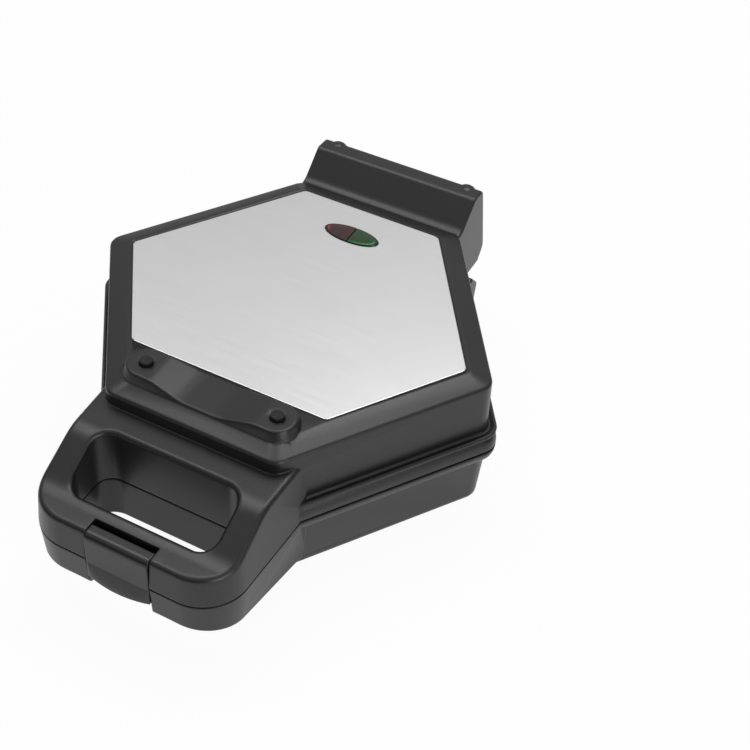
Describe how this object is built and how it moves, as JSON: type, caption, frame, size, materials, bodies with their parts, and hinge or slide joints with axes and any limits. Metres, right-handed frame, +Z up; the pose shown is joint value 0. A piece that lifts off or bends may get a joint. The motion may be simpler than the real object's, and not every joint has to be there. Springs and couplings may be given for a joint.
{
  "type": "egg waffle pan",
  "caption": "Hinged hexagonal electric egg waffle pan with a split hand grip, swinging latch and steel-topped lid.",
  "frame": {"origin": "middle of the overall bounding box across and front to back, at the bottom of the feet", "axes": "+Z up, +Y from the hand grip towards the hinge, +X across the cells"},
  "size_m": [0.2184, 0.2904, 0.092],
  "materials": {
    "housing_plastic": "moulded black plastic, satin",
    "cover_plastic": "moulded black plastic, matt",
    "latch_plastic": "moulded black plastic, satin",
    "nonstick_aluminium": "cast aluminium with dark non-stick coating",
    "brushed_panel": "brushed stainless sheet",
    "zinc_screws": "zinc-plated pan-head screws",
    "element_steel": "sheathed heating tube",
    "shield_steel": "pressed aluminised sheet",
    "rubber_black": "black rubber",
    "pin_steel": "turned steel",
    "inner_plastic": "moulded heat-resistant plastic",
    "white_ceramic": "glazed ceramic body",
    "red_lens": "tinted clear plastic, red",
    "green_lens": "tinted clear plastic, green",
    "lamp_glass": "small glass lamp",
    "fuse_metal": "plated fuse can with clip"
  },
  "bodies": {
    "base": {"lower_housing": "housing_plastic", "lower_handle_cover": "cover_plastic", "lower_handle_screws": "zinc_screws", "lower_plate": "nonstick_aluminium", "lower_plate_screws": "zinc_screws", "lower_heating_element": "element_steel", "lower_heat_shield": "shield_steel", "lower_shield_screws": "zinc_screws", "base_feet": "rubber_black", "cord_inlet_bush": "rubber_black", "cord_clamp": "inner_plastic", "cord_clamp_screws": "zinc_screws", "terminal_block": "white_ceramic", "hinge_pin": "pin_steel"},
    "lid": {"upper_housing": "housing_plastic", "upper_handle_cover": "cover_plastic", "upper_handle_screws": "zinc_screws", "upper_plate": "nonstick_aluminium", "upper_plate_screws": "zinc_screws", "upper_heating_element": "element_steel", "upper_heat_shield": "shield_steel", "upper_shield_screws": "zinc_screws", "top_panel": "brushed_panel", "red_lamp_lens": "red_lens", "green_lamp_lens": "green_lens", "lamp_holder": "inner_plastic", "neon_lamps": "lamp_glass", "thermostat": "white_ceramic", "thermal_fuse": "fuse_metal", "lid_studs": "rubber_black", "hinge_cover": "cover_plastic", "hinge_cover_screws": "zinc_screws", "latch_pin": "pin_steel"},
    "latch": {"latch": "latch_plastic"}
  },
  "joints": [
    {"name": "lid_hinge", "type": "hinge", "parent": "base", "child": "lid", "pos_m": [0, 0.11653, 0.041], "axis": [-1, 0, 0], "range_deg": [0, 103]},
    {"name": "latch_swing", "type": "hinge", "parent": "lid", "child": "latch", "pos_m": [0, -0.13757, 0.0532], "axis": [-1, 0, 0], "range_deg": [0, 35]}
  ]
}
